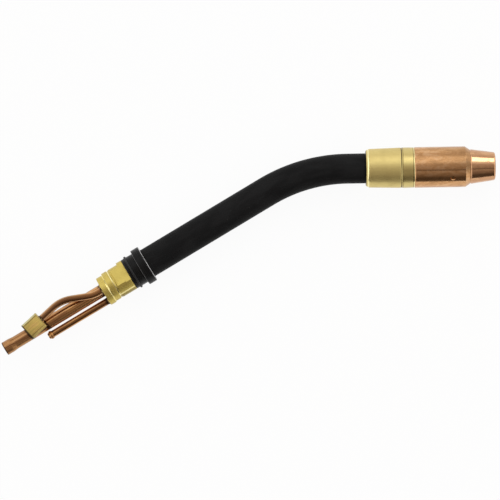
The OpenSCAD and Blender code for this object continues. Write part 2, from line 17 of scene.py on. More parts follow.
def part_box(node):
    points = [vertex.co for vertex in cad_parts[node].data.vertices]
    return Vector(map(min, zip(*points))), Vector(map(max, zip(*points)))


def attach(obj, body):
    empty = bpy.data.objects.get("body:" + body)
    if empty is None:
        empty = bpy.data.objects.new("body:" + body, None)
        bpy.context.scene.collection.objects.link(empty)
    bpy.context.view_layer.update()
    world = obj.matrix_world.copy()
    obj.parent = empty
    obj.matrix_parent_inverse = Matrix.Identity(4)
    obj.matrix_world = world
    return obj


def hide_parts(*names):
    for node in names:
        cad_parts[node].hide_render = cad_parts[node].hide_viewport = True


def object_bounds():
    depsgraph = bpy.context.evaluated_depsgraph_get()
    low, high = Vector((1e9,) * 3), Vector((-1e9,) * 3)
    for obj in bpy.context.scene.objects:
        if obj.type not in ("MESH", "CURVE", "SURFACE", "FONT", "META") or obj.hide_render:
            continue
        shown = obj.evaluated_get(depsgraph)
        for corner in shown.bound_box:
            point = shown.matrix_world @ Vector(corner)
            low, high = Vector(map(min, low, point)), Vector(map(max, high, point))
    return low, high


MM = 0.001
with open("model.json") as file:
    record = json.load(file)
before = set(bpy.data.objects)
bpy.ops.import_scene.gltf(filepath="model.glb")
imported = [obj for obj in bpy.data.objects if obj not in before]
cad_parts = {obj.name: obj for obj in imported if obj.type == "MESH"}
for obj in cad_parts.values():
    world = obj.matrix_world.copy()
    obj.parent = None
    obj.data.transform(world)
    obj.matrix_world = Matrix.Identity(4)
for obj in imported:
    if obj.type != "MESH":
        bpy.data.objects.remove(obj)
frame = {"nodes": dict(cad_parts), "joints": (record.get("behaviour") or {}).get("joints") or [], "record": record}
cad_low, cad_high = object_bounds()
CAD = frame["nodes"]


# -------- places read from the frame

ROW = Matrix.Identity(4)  # the frame of the tubes and the neck's rear straight
ALONG, ACROSS, UP = Vector((1, 0, 0)), Vector((0, 1, 0)), Vector((0, 0, 1))
BORE_GAP = 0.03  # round a tube in its bore, on the radius
FACE_GAP = 0.05  # between faces that seat on each other


def frame_at(origin, x, y, z):
    """The frame with an origin and three axes."""
    return Matrix.Translation(origin) @ Matrix((x, y, z)).transposed().to_4x4()


def points_of(node, place):
    """A CAD node's points, in millimetres, in the frame of a place."""
    back = place.inverted()
    return [back @ (v.co / MM) for v in CAD[node].data.vertices]


def reach(node, place=ROW):
    """A CAD node's lowest and highest x in the frame of a place."""
    xs = [p.x for p in points_of(node, place)]
    return min(xs), max(xs)


def head_place():
    """The frame of the head: X along the nozzle's axis, its origin in the head's rear face."""
    along = Vector(frame["joints"][0]["axis"]).normalized()
    low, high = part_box("jacket_inner_sleeve")
    place = frame_at((low + high) / 2 / MM, along, UP.cross(along), UP)
    return place @ Matrix.Translation((reach("head_body", place)[0], 0, 0))


HEAD = head_place()
NECK_ANGLE = degrees(atan2(-HEAD[1][0], HEAD[0][0]))
NECK_RADIUS = 120
# the neck's two straights, drawn on, meet where the head's axis crosses the row's X axis
CROSSING = HEAD[0][3] - HEAD[1][3] * HEAD[0][0] / HEAD[1][0]
TANGENT = NECK_RADIUS * tan(radians(NECK_ANGLE / 2))
BEND_START = CROSSING - TANGENT
BEND_LENGTH = NECK_RADIUS * radians(NECK_ANGLE)
HEAD_LEAD = (HEAD.to_translation() - Vector((CROSSING, 0, 0))).length - TANGENT
HEAD_DISTANCE = BEND_START + BEND_LENGTH + HEAD_LEAD

BARREL = reach("mount_collar")
PLATE = reach("tube_plate")
BODY = reach("manifold")
TAIL_END = reach("wire_gas_tube")[0]


def distances(node, place, x, depth=3):
    """A node's smallest and largest distance from the X axis of a place, within a depth of an x place."""
    found = [hypot(p.y, p.z) for p in points_of(node, place) if abs(p.x - x) < depth]
    return min(found), max(found)


def round_end(node, start, end):
    """The middle (y) and the radius of a round node between two x places."""
    ys = [p.y for p in points_of(node, ROW) if start <= p.x <= end]
    return (min(ys) + max(ys)) / 2, (max(ys) - min(ys)) / 2


def mount_place(name):
    """The frame of one of the record's mounts: X along its axis."""
    mount = next(m for m in frame["record"]["mounts"] if m["name"] == name)
    along = Vector(mount["axis"]).normalized()
    side = along.orthogonal().normalized()
    return frame_at(Vector(mount["pos_m"]) / MM, along, side, along.cross(side))


# -------- mesh tools


def add_object(name, data):
    made = bpy.data.objects.new(name, data)
    bpy.context.scene.collection.objects.link(made)
    return made


def put_own(mesh, own):
    """Stores points in millimetres as the mesh's own coordinates."""
    layer = mesh.attributes.new("own", "FLOAT_VECTOR", "POINT")
    layer.data.foreach_set("vector", [c * MM for point in own for c in point])


def own_mesh(name, vertices, faces, own):
    """A mesh of points in millimetres, with its faces turned outwards."""
    mesh = bpy.data.meshes.new(name)
    mesh.from_pydata([v * MM for v in vertices], [], faces)
    put_own(mesh, own)
    cleaner = bmesh.new()
    cleaner.from_mesh(mesh)
    bmesh.ops.recalc_face_normals(cleaner, faces=cleaner.faces)
    cleaner.to_mesh(mesh)
    cleaner.free()
    return mesh


def finish_mesh(node, vertices, faces, own, place, body, slot, material, smooth=35, name=None):
    """A piece of points in the frame of a place, which rides on a body and replaces a CAD node."""
    name = name or f"{node}_finish"
    mesh = own_mesh(name, [place @ Vector(v) for v in vertices], faces, own)
    smooth_mesh(mesh, smooth)
    mesh.materials.append(material)
    piece = add_object(name, mesh)
    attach(piece, body)
    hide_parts(node)
    return piece


def grid_faces(rings, sides, closed=False):
    """Quads between neighbouring rings of points, and from the last ring to the first where closed."""
    faces = []
    for i in range(rings if closed else rings - 1):
        j = (i + 1) % rings
        for k in range(sides):
            n = (k + 1) % sides
            faces.append((i * sides + k, i * sides + n, j * sides + n, j * sides + k))
    return faces


MIN_SIDE = 1e-4  # a corner beside a shorter side than this stays sharp
FLATTEST = radians(155)  # and so does a blunter one than this


def fillet(before, corner, after, radius, steps):
    """Points of a round of a radius on an outline's corner, no longer than 45% of its shorter side."""
    at = Vector(corner)
    back, on = Vector(before) - at, Vector(after) - at
    shorter = min(back.length, on.length)
    angle = back.angle(on)
    if radius <= 0 or shorter < MIN_SIDE or angle > FLATTEST:
        return [tuple(corner)]
    back.normalize()
    on.normalize()
    cut = min(radius / tan(angle / 2), 0.45 * shorter)
    start, end = at + back * cut, at + on * cut
    centre = at + (back + on).normalized() * (cut / cos(angle / 2))
    points = []
    for i in range(steps + 1):
        mix = start.lerp(end, i / steps) - centre
        points.append(tuple(centre + mix.normalized() * (start - centre).length))
    return points


SUPPORT = 0.06  # a row of points this near to a round's end keeps the flat beside it flat


def with_rows(outline, step):
    """A closed outline with extra points, so that no stretch is longer than step(x) allows."""
    rows = []
    for here, there in zip(outline, outline[1:] + outline[:1]):
        rows.append(here)
        a, b = Vector(here), Vector(there)
        length = (b - a).length
        if length < 3 * SUPPORT:
            continue
        count = max(1, ceil(length / step((a.x + b.x) / 2)))
        shares = [SUPPORT / length] + [i / count for i in range(1, count)] + [1 - SUPPORT / length]
        rows += [tuple(a.lerp(b, share)) for share in shares]
    return rows


def rounded(outline, radius, steps=3):
    """A closed outline of (x, r) or (x, r, radius) points with its corners rounded."""
    made = []
    for i, corner in enumerate(outline):
        before, after = outline[i - 1], outline[(i + 1) % len(outline)]
        own_radius = corner[2] if len(corner) > 2 else radius
        made += fillet(before[:2], corner[:2], after[:2], own_radius, steps)
    return made


def section(node, place):
    """A turned CAD node's outline as (x, r) points, cut where its faces have their seam."""
    off_axis = [p for p in points_of(node, place) if hypot(p.y, p.z) > 0.01]
    seam = radians(mode(round(degrees(atan2(p.z, p.y)), 1) % 360 for p in off_axis))
    cut = bmesh.new()
    cut.from_mesh(CAD[node].data)
    bmesh.ops.transform(cut, matrix=place.inverted() @ Matrix.Scale(1 / MM, 4), verts=cut.verts)
    bmesh.ops.remove_doubles(cut, verts=cut.verts, dist=1e-4)
    across = Vector((0, -sin(seam), cos(seam)))
    geometry = cut.verts[:] + cut.edges[:] + cut.faces[:]
    made = bmesh.ops.bisect_plane(cut, geom=geometry, dist=1e-4, plane_co=(0, 0, 0), plane_no=across)
    edges = [g for g in made["geom_cut"] if isinstance(g, bmesh.types.BMEdge)]
    out = Vector((0, cos(seam), sin(seam)))
    links = {}
    for edge in edges:
        ends = [(round(v.co.x, 4), round(v.co.dot(out), 4)) for v in edge.verts]
        if min(ends[0][1], ends[1][1]) >= 0 and ends[0] != ends[1]:
            for a, b in (ends, ends[::-1]):
                links.setdefault(a, []).append(b)
    cut.free()
    return without_straights(longest_loop(links))


def longest_loop(links):
    """The longest closed outline in a table of each point's neighbours."""
    loops = []
    while links:
        loop, here = [], min(links)
        while here:
            loop.append(here)
            here = next((p for p in links.get(here, []) if p not in loop), None)
        for point in loop:
            links.pop(point, None)
        loops.append(loop)
    return max(loops, key=len)


def without_straights(loop):
    """A closed outline without the points that lie on a straight line between their neighbours."""
    kept = []
    for i, point in enumerate(loop):
        before, after = Vector(loop[i - 1]), Vector(loop[(i + 1) % len(loop)])
        here = Vector(point)
        if (here - before).angle(after - here, 0) > 0.002:
            kept.append(point)
    return kept


def spin(outline, steps, shape=None, bend=None):
    """Vertices, faces and own coordinates of a closed outline turned about X. shape(x, r, angle) gives the
    own point where it isn't the round one, and bend(x, y, z) lays it on a track."""
    own = []
    for i in range(steps):
        angle = 2 * pi * i / steps
        for x, r in outline:
            own.append(shape(x, r, angle) if shape else (x, r * cos(angle), r * sin(angle)))
    vertices = [bend(*point) for point in own] if bend else own
    return vertices, grid_faces(steps, len(outline), closed=True), own


PITCH = 1.0  # of all threads
NEAR_WALL = 0.2  # a thread's groove is cut where the outline is this near to its radius


def thread(start, end, depth, radius):
    """A shape for spin(): a helical groove from start to end, in the wall near a radius."""
    def shape(x, r, angle):
        if start < x < end and abs(r - radius) < NEAR_WALL:
            run_out = min(1, (x - start) / PITCH, (end - x) / PITCH)
            phase = (x / PITCH - angle / (2 * pi)) % 1
            r -= depth * run_out * (1 - abs(2 * phase - 1))
        return x, r * cos(angle), r * sin(angle)
    return shape


def every(step, *fine):
    """A row spacing for with_rows(): step, or the finer one inside a (start, end, step) stretch."""
    def spacing(x):
        return min([step] + [s for start, end, s in fine if start <= x <= end])
    return spacing


def split_at(outline, places):
    """A closed outline with points added where its long straights cross some x places."""
    made = []
    for here, there in zip(outline, outline[1:] + outline[:1]):
        made.append(here)
        inside = [p for p in places if min(here[0], there[0]) + 0.01 < p < max(here[0], there[0]) - 0.01]
        for p in sorted(inside, reverse=there[0] < here[0]):
            share = (p - here[0]) / (there[0] - here[0])
            made.append((p, here[1] + share * (there[1] - here[1])))
    return made


def eased(outline, *corners):
    """An outline whose corners nearest to some (x, r) points are cut to slopes, which catch the light. Each
    corner is (x, r, length along X, drop in radius)."""
    for x, r, length, drop in corners:
        at = min(range(len(outline)), key=lambda i: hypot(outline[i][0] - x, outline[i][1] - r))
        corner, before = outline[at], outline[at - 1]
        level_first = abs(before[1] - corner[1]) < abs(before[0] - corner[0])
        beside = before if level_first else outline[(at + 1) % len(outline)]
        away = copysign(length, beside[0] - corner[0])
        cut = [(corner[0] + away, corner[1], 0.1), (corner[0], corner[1] - drop, 0.05)]
        outline = outline[:at] + (cut if level_first else cut[::-1]) + outline[at + 1:]
    return outline


def turned(node, body, slot, material, place=HEAD, edge=0.12, steps=128, spacing=every(3), splits=(),
           slopes=(), rounds=(), shape=None):
    """A smooth, finely rounded piece in place of a turned CAD node. Each of rounds is the (x from, x to,
    r from, radius) of the corners in it."""
    outline = eased(section(node, place), *slopes)
    for x0, x1, r0, radius in rounds:
        outline = [(*p[:2], radius) if x0 <= p[0] <= x1 and p[1] > r0 else p for p in outline]
    outline = rounded(outline, edge, 6 if rounds else 3)
    outline = with_rows(split_at(outline, splits), spacing)
    return finish_mesh(node, *spin(outline, steps, shape), place, body, slot, material)


def follow(track):
    """A bend for spin(): lays x on a track of (length, turn in degrees) stretches in the XY plane."""
    def lay(x, y, z):
        spot, heading, left = Vector((0, 0)), 0.0, x
        for i, (length, turn) in enumerate(track):
            share = left if i == len(track) - 1 else min(left, length)
            if turn and share > 0:
                radius = length / radians(turn)
                angle = share / radius
                spot += radius * Vector((sin(heading + angle) - sin(heading),
                                         cos(heading) - cos(heading + angle)))
                heading += angle
            else:
                spot += share * Vector((cos(heading), sin(heading)))
            left -= share
            if left <= 0:
                break
        return (spot.x - y * sin(heading), spot.y + y * cos(heading), z)
    return lay


along_neck = follow([(BEND_START, 0), (BEND_LENGTH, -NECK_ANGLE), (1000, 0)])


def smooth_mesh(mesh, angle):
    """Smooth shading that stays sharp where faces meet at more than an angle in degrees."""
    mesh.shade_smooth()
    mesh.set_sharp_from_angle(angle=radians(angle))


def cut_holes(piece, cutters, place=ROW, smooth=35):
    """Bores a piece, whose own coordinates are in the frame of a place, with (vertices, faces) meshes."""
    back = place.inverted()
    for vertices, faces in cutters:
        mesh = own_mesh("cutter", vertices, faces, [back @ v for v in vertices])
        cutter = add_object("cutter", mesh)
        boolean = piece.modifiers.new("bore", "BOOLEAN")
        boolean.operation = "DIFFERENCE"
        boolean.solver = "EXACT"
        boolean.object = cutter
        apply_modifiers(piece)
        bpy.data.objects.remove(cutter)
    smooth_mesh(piece.data, smooth)


def apply_modifiers(piece):
    bpy.context.view_layer.update()
    evaluated = piece.evaluated_get(bpy.context.evaluated_depsgraph_get())
    made = bpy.data.meshes.new_from_object(evaluated)
    piece.modifiers.clear()
    piece.data = made


def end_caps(rings, sides):
    return [tuple(range(sides)), tuple(range((rings - 1) * sides, rings * sides))]


def bar(rings, place=ROW, y=0, z=0, steps=48):
    """A round cutter along X through (x, radius) rings, in the frame of a place."""
    angles = [2 * pi * i / steps for i in range(steps)]
    vertices = [place @ Vector((x, y + r * cos(a), z + r * sin(a))) for x, r in rings for a in angles]
    return vertices, end_caps(len(rings), steps) + grid_faces(len(rings), steps)


def outward(place, x, turn):
    """A frame at an x place on the axis of a place, whose X points outwards, turned by degrees from +Z."""
    out = Vector((0, -sin(radians(turn)), cos(radians(turn))))
    return place @ frame_at((x, 0, 0), out, ALONG, out.cross(ALONG))


# -------- materials


def plug(tree, socket, value):
    """Links an output to a socket, or sets the socket to a number, a direction or a colour."""
    if isinstance(value, bpy.types.NodeSocket):
        tree.links.new(value, socket)
    elif hasattr(value, "__len__"):
        socket.default_value = (*value, 1)[:len(socket.default_value)]
    else:
        socket.default_value = value


def add_node(tree, kind, *inputs, sockets=None, **settings):
    """A shader node with its settings, its first inputs and its sockets by name."""
    made = tree.nodes.new(kind)
    for key, value in settings.items():
        setattr(made, key, value)
    for socket, value in zip(made.inputs, inputs):
        plug(tree, socket, value)
    for name, value in (sockets or {}).items():
        plug(tree, made.inputs[name], value)
    return made


def add_ramp(tree, value, stops):
    """A value turned into colours or numbers by (place, colour or number) stops."""
    made = add_node(tree, "ShaderNodeValToRGB", value)
    elements = made.color_ramp.elements
    while len(elements) < len(stops):
        elements.new(0.5)
    for element, (position, color) in zip(elements, stops):
        element.position = position
        element.color = (*color, 1) if hasattr(color, "__len__") else (color, color, color, 1)
    return made.outputs["Color"]


def add_mix(tree, share, a, b):
    """Colours a and b mixed; share is an output or a number."""
    made = add_node(tree, "ShaderNodeMix", share, data_type="RGBA")
    plug(tree, made.inputs[6], a)
    plug(tree, made.inputs[7], b)
    return made.outputs[2]


class Paint:
    """A Principled material that reads the piece's own coordinates, or the object's where own is False."""

    def __init__(self, name, color, metallic=0.0, roughness=0.5, own=True):
        self.material = bpy.data.materials.new(name)
        self.material.use_nodes = True
        self.tree = self.material.node_tree
        self.shader = self.tree.nodes["Principled BSDF"]
        self.set("Base Color", color)
        self.set("Metallic", metallic)
        self.set("Roughness", roughness)
        if own:
            self.place = self.node("ShaderNodeAttribute", attribute_name="own").outputs["Vector"]
        else:
            self.place = self.node("ShaderNodeTexCoord").outputs["Object"]
        self.relief = None

    def node(self, kind, *inputs, **values):
        return add_node(self.tree, kind, *inputs, **values)

    def set(self, socket, value):
        """Sets a socket of the shader, or drives it by an output."""
        plug(self.tree, self.shader.inputs[socket], value)

    def noise(self, x, y, z, detail=3, rough=0.5, warp=0.0):
        """Noise of x, y and z patterns per metre."""
        stretched = self.node("ShaderNodeMapping", self.place, sockets={"Scale": (x, y, z)})
        sockets = {"Vector": stretched.outputs["Vector"], "Scale": 1, "Detail": detail, "Roughness": rough,
                   "Distortion": warp}
        return self.node("ShaderNodeTexNoise", sockets=sockets).outputs["Fac"]

    def ramp(self, value, *stops):
        return add_ramp(self.tree, value, stops)

    def mix(self, share, a, b):
        return add_mix(self.tree, share, a, b)

    def math(self, operation, a, b):
        return self.node("ShaderNodeMath", a, b, operation=operation).outputs["Value"]

    def times(self, a, b):
        return self.math("MULTIPLY", a, b)

    def near(self, place, width, direction=ALONG):
        """1 at a place along a direction, in millimetres, falling to 0 at a width from it."""
        product = self.node("ShaderNodeVectorMath", self.place, direction, operation="DOT_PRODUCT")
        along = self.times(product.outputs["Value"], 1 / MM)
        off = self.math("ABSOLUTE", self.math("SUBTRACT", along, place), 0)
        return self.math("MAXIMUM", self.math("SUBTRACT", 1, self.math("DIVIDE", off, width)), 0)

    def strip(self, place, width, direction=ALONG, gain=2.0):
        """1 in the middle of a strip round a place, falling to 0 at a width from it. A gain widens the 1."""
        return self.math("MINIMUM", self.times(self.near(place, width, direction), gain), 1)

    def bump(self, height, depth):
        """Adds relief of a depth in millimetres."""
        made = self.node("ShaderNodeBump", sockets={"Strength": 1, "Distance": depth * MM, "Height": height})
        if self.relief:
            plug(self.tree, made.inputs["Normal"], self.relief)
        self.relief = made.outputs["Normal"]
        self.set("Normal", self.relief)

    def done(self, color, rough, *reliefs):
        """The material, with a colour, a roughness and (height, depth) reliefs."""
        self.set("Base Color", color)
        self.set("Roughness", rough)
        for height, depth in reliefs:
            self.bump(height, depth)
        return self.material


def shaded(color, share):
    return tuple(c * share for c in color)


BRASS = (0.755, 0.605, 0.24)
BODY_BRASS = (0.66, 0.515, 0.135)
BLOCK_BRASS = (0.86, 0.62, 0.19)
COPPER = (0.64, 0.345, 0.152)
CONE_COPPER = (0.63, 0.345, 0.185)
TUBE_COPPER = (0.53, 0.272, 0.108)


def turned_brass(name, color, roughness, *painted_edges, relief=0.007, own=True, lengthwise=()):
    """Satin brass with turning marks and a faint brown bloom. Each of painted_edges is the (x, width, colour), in
    millimetres, of a painted highlight or painted shade line round an edge, whose roughness is also lowered,
    and each of lengthwise the (place, width, direction, x, reach along X, colour) of a painted highlight or
    painted shade line along an edge along X."""
    paint = Paint(name, color, 1.0, roughness, own)
    stain = paint.noise(110, 110, 110, detail=4, rough=0.6)
    marks = paint.noise(2300, 5, 5, rough=0.7)
    drawn = paint.noise(25, 900, 900)
    dull = paint.ramp(stain, (0.3, shaded(color, 0.88)), (0.64, color))
    streaked = paint.mix(paint.ramp(marks, (0.38, 0.0), (0.72, 0.25)), dull, shaded(color, 0.84))
    lined = paint.mix(paint.ramp(drawn, (0.42, 0.0), (0.75, 0.2)), streaked, shaded(color, 1.12))
    rough = paint.ramp(stain, (0.3, roughness + 0.08), (0.7, roughness - 0.04))
    # painted highlight or painted shade line round an edge, with a smoother surface there
    for place, width, tone in painted_edges:
        share = paint.strip(place, width)
        lined = paint.mix(share, lined, tone)
        rough = paint.times(rough, paint.math("SUBTRACT", 1, paint.times(share, 0.6)))
    for place, width, direction, middle, half, tone in lengthwise:
        inside = paint.strip(middle, half, gain=8)
        share = paint.math("MINIMUM", paint.strip(place, width, direction), inside)
        lined = paint.mix(share, lined, tone)
    return paint.done(lined, rough, (marks, relief))


def milled_brass(*strips):
    """Brass bar with milling marks along the return tube, in places orange or greenish. Each of strips is the
    (place, width, direction, colour), in millimetres, of a painted highlight or painted shade line along an edge."""
    greenish, orange, scratch = (0.74, 0.57, 0.17), (0.9, 0.6, 0.22), (0.46, 0.33, 0.1)
    paint = Paint("milled_brass", BLOCK_BRASS, 1.0, 0.42)
    marks = paint.noise(30, 1100, 1100, detail=4, rough=0.7)
    stain = paint.noise(110, 200, 200, detail=4)
    dull = paint.ramp(stain, (0.38, greenish), (0.5, BLOCK_BRASS), (0.64, orange))
    scored = paint.mix(paint.ramp(marks, (0.4, 0.5), (0.5, 0.0)), dull, scratch)
    # painted highlight and painted shade lines along the block's edges and ends
    for place, width, direction, color in strips:
        share = paint.strip(place, width, direction, gain=2.5)
        scored = paint.mix(paint.times(share, 0.9), scored, color)
    return paint.done(scored, paint.ramp(marks, (0.4, 0.5), (0.6, 0.34)), (marks, 0.02))


def drawn_copper(name, *scorch_and_shade, dulled=None):
    """Copper tube with drawing lines. Each of scorch_and_shade is a (place, width, direction), in millimetres,
    of a dark band: brazing tarnish with painted shade where a tube leaves the plate, and painted shade beside the
    power block and at the tail's rim. dulled is the (x, width, colour, share, roughness) of a stretch of bloom."""
    brown, pale, scorch_shade = (0.17, 0.07, 0.028), (0.82, 0.5, 0.26), (0.035, 0.018, 0.012)
    tarnished, fresh = (0.38, 0.17, 0.075), (0.7, 0.36, 0.13)
    paint = Paint(name, TUBE_COPPER, 1.0, 0.17)
    lines = paint.noise(4, 560, 560, rough=0.6)
    stain = paint.noise(45, 200, 200, detail=4, rough=0.6, warp=0.5)
    tarnish = paint.ramp(stain, (0.38, tarnished), (0.5, TUBE_COPPER), (0.62, fresh))
    rough = paint.ramp(stain, (0.36, 0.28), (0.64, 0.17))
    if dulled:
        place, width, tone, most, roughness = dulled
        share = paint.strip(place, width)
        tarnish = paint.mix(paint.times(share, most), tarnish, tone)
        rough = paint.math("MAXIMUM", rough, paint.times(share, roughness))
    lined = paint.mix(paint.ramp(lines, (0.37, 0.9), (0.45, 0.0)), tarnish, brown)
    lined = paint.mix(paint.ramp(lines, (0.55, 0.0), (0.62, 0.7)), lined, pale)
    # dark bands of brazing tarnish and painted shade
    for place, width, direction in scorch_and_shade:
        reached = paint.near(place, width, direction)
        share = paint.times(reached, paint.ramp(stain, (0.35, 2.2), (0.65, 1.1)))
        lined = paint.mix(paint.math("MINIMUM", share, 0.92), lined, scorch_shade)
    return paint.done(lined, rough, (lines, 0.03))


def nozzle_copper(name, color, roughness, mottle, heated=None):
    """Polished copper with soft heat mottling and small dents in its shine. Its upper side is a little
    browner round the x place heated, in millimetres."""
    dark, pale = shaded(color, 1 - mottle), (0.72, 0.43, 0.225)
    paint = Paint(name, color, 1.0, roughness)
    patches = paint.noise(110, 240, 240, detail=5, rough=0.7, warp=0.9)
    speckle = paint.noise(600, 1000, 1000, rough=0.7)
    tone = paint.ramp(patches, (0.38, dark), (0.5, color), (0.62, pale))
    speckled = paint.mix(paint.ramp(speckle, (0.5, 0.0), (0.66, 0.9 * mottle)), tone, shaded(color, 0.5))
    if heated:
        upper = paint.strip(9, 14, ACROSS)
        share = paint.times(paint.times(paint.near(heated, 24), upper), 0.55)
        speckled = paint.mix(share, speckled, shaded(color, 0.6))
    rough = paint.ramp(patches, (0.38, roughness + 0.09), (0.6, roughness))
    dents, marks = paint.noise(60, 40, 40, detail=2), paint.noise(1500, 12, 12, detail=2)
    return paint.done(speckled, rough, (dents, 0.1 * mottle), (marks, 0.002))


def black_sleeve():
    """Satin black insulation with a fine grain and dust specks."""
    paint = Paint("sleeve_black", (0.0125, 0.0125, 0.0127), 0.0, 0.45)
    paint.set("Specular IOR Level", 0.03)
    cloud = paint.noise(45, 150, 150, detail=4, rough=0.6)
    specks = paint.noise(900, 900, 900, detail=1)
    dark, pale, dust = (0.0105, 0.0105, 0.0107), (0.0148, 0.0148, 0.015), (0.07, 0.07, 0.068)
    tone = paint.ramp(cloud, (0.4, dark), (0.6, pale))
    color = paint.mix(paint.ramp(specks, (0.74, 0.0), (0.8, 0.35)), tone, dust)
    rough = paint.ramp(cloud, (0.3, 0.36), (0.7, 0.5))
    return paint.done(color, rough, (paint.noise(1400, 1400, 1400), 0.01))


def turned_plastic(*edge_glints):
    """Turned black plastic with painted highlight lines along a few edges. Each of edge_glints is (x, width,
    brightness).
    """
    paint = Paint("collar_black", (0.005, 0.005, 0.005), 0.0, 0.36)
    paint.set("Specular IOR Level", 0.14)
    marks = paint.noise(1600, 8, 8, rough=0.7)
    glint_noise = paint.noise(200, 420, 420)
    color = paint.ramp(marks, (0.4, 0.003), (0.62, 0.011))
    # painted highlight lines, broken up by noise
    for place, width, pale in edge_glints:
        share = paint.times(paint.near(place, width), paint.ramp(glint_noise, (0.3, 0.5), (0.62, 2.2)))
        color = paint.mix(paint.math("MINIMUM", share, 1), color, (pale, pale, pale))
    rough = paint.ramp(paint.noise(200, 200, 200), (0.3, 0.26), (0.7, 0.4))
    return paint.done(color, rough, (marks, 0.014))


def clouded(name, color, metallic, roughness, grain, *stops, rough=(), specular=0.5, relief=0.0, detail=4,
            warp=0.0, own=True):
    """A material whose colour wanders between stops with a cloud of some grains per metre, and its roughness
    too where rough gives stops for it."""
    paint = Paint(name, color, metallic, roughness, own)
    paint.set("Specular IOR Level", specular)
    cloud = paint.noise(grain, grain, grain, detail=detail, warp=warp)
    if rough:
        roughness = paint.ramp(cloud, *rough)
    reliefs = [(cloud, relief)] if relief else []
    return paint.done(paint.ramp(cloud, *stops), roughness, *reliefs)


# colours of painted highlights and painted shade on the brass: pale for highlights, dark for shade lines, for
# shade in a joint and for shade under the flats
PAINTED_HIGHLIGHT, PAINTED_SHADE_LINE, PAINTED_JOINT_SHADE = (0.95, 0.84, 0.42), (0.3, 0.22, 0.08), (0.02, 0.015, 0.01)
PAINTED_UNDER_SHADE = (0.3, 0.23, 0.06)
JACKET = reach("nozzle_jacket", HEAD)
RING = reach("nozzle_ring", HEAD)[0], JACKET[0] - FACE_GAP  # where its outside is bare
FLATS_MIDDLE, FLATS_HALF = -16.2, 6.8  # where the manifold's flats are, along X

# a painted highlight on the head's rear rounding, and painted shade where the sleeve enters the head
brass = turned_brass("turned_brass", BRASS, 0.44, (1.9, 0.65, PAINTED_HIGHLIGHT), (0, 0.6, PAINTED_JOINT_SHADE))
# painted shade lines near both ends of the ring, and a painted highlight at its front edge
fine_brass = turned_brass("fine_brass", shaded(BRASS, 0.94), 0.31, (RING[0] + 0.75, 0.35, PAINTED_SHADE_LINE),
                          (RING[1] - 0.95, 0.3, PAINTED_SHADE_LINE), (RING[1] - 0.3, 0.36, PAINTED_HIGHLIGHT))
# painted highlights at the plate's edge, the band's edge and along the flats, and painted shade under the flats
body_brass = turned_brass("body_brass", BODY_BRASS, 0.38, (PLATE[1], 0.5, PAINTED_HIGHLIGHT),
                          (BODY[0] + 4.9, 0.45, PAINTED_HIGHLIGHT), relief=0.002,
                          lengthwise=[(-9.5, 0.45, ACROSS, FLATS_MIDDLE, FLATS_HALF, PAINTED_HIGHLIGHT),
                                      (-11, 1.1, ACROSS, FLATS_MIDDLE, FLATS_HALF, PAINTED_UNDER_SHADE)])
brass_inside = turned_brass("turned_brass_inside", BRASS, 0.3, own=False)
jacket_copper = nozzle_copper("jacket_copper", COPPER, 0.13, 0.23, heated=JACKET[1] - 4)
cone_copper = nozzle_copper("cone_copper", CONE_COPPER, 0.1, 0.12)
inner_copper = clouded("inner_copper", TUBE_COPPER, 1.0, 0.28, 160, (0.3, (0.42, 0.2, 0.1)),
                       (0.65, (0.66, 0.37, 0.21)), own=False)
sleeve_black = black_sleeve()
# painted highlights on the flange's front and rear edges and on the barrel's rear edge
collar_black = turned_plastic((BARREL[1], 0.36, 0.6), (0, 0.3, 0.12), (BARREL[0], 0.3, 0.06))
ring_rubber, seal_rubber = [
    clouded(name, (0.008, 0.008, 0.008), 0.0, 0.5, 500, (0.3, 0.006), (0.8, 0.014), specular=0.35,
            relief=0.01, detail=3, own=own) for name, own in (("ring_rubber", True), ("seal_rubber", False))]
liner_steel = clouded("liner_steel", (0.5, 0.49, 0.47), 1.0, 0.3, 300, (0.3, (0.3, 0.29, 0.28)),
                      (0.7, (0.55, 0.54, 0.53)), rough=((0.3, 0.4), (0.7, 0.25)), detail=3)
resin = clouded("insulator_resin", (0.06, 0.035, 0.018), 0.0, 0.5, 700, (0.3, (0.04, 0.024, 0.012)),
                (0.75, (0.09, 0.055, 0.03)), specular=0.15, relief=0.01, own=False)
braze = clouded("braze_metal", (0.3, 0.2, 0.09), 1.0, 0.4, 500, (0.42, (0.05, 0.03, 0.018)),
                (0.54, (0.32, 0.2, 0.09)), (0.66, (0.62, 0.48, 0.2)), rough=((0.4, 0.55), (0.6, 0.3)),
                relief=0.05, warp=0.6)


# -------- camera

LENS, SENSOR = 259.2, 36.0
PICTURE = 500  # pixels
SCALE = 0.74  # millimetres for each pixel, at the height of the neck's axes
ORIGIN_AT = (140.0, 267.8)  # the pixel that the row's origin falls on
ROLL = radians(31.0)  # the row's +X points this far up from the picture's right
distance = SCALE * PICTURE * LENS / SENSOR
right = Vector((cos(ROLL), -sin(ROLL), 0))
upward = Vector((sin(ROLL), cos(ROLL), 0))
centre = right * (PICTURE / 2 - ORIGIN_AT[0]) * SCALE + upward * (ORIGIN_AT[1] - PICTURE / 2) * SCALE

camera_data = bpy.data.cameras.new("camera")
camera_data.lens = LENS
camera_data.sensor_width = SENSOR
camera = add_object("camera", camera_data)
camera.matrix_world = frame_at((centre + UP * distance) * MM, right, upward, UP)
bpy.context.scene.camera = camera


# -------- floor and light

FLOOR_DROP = 0.0002  # metres under the object
FLOOR_HALF = 8.0  # metres
FLOOR_WHITE = 0.94  # share of plain white in what the camera and the metal see of the floor


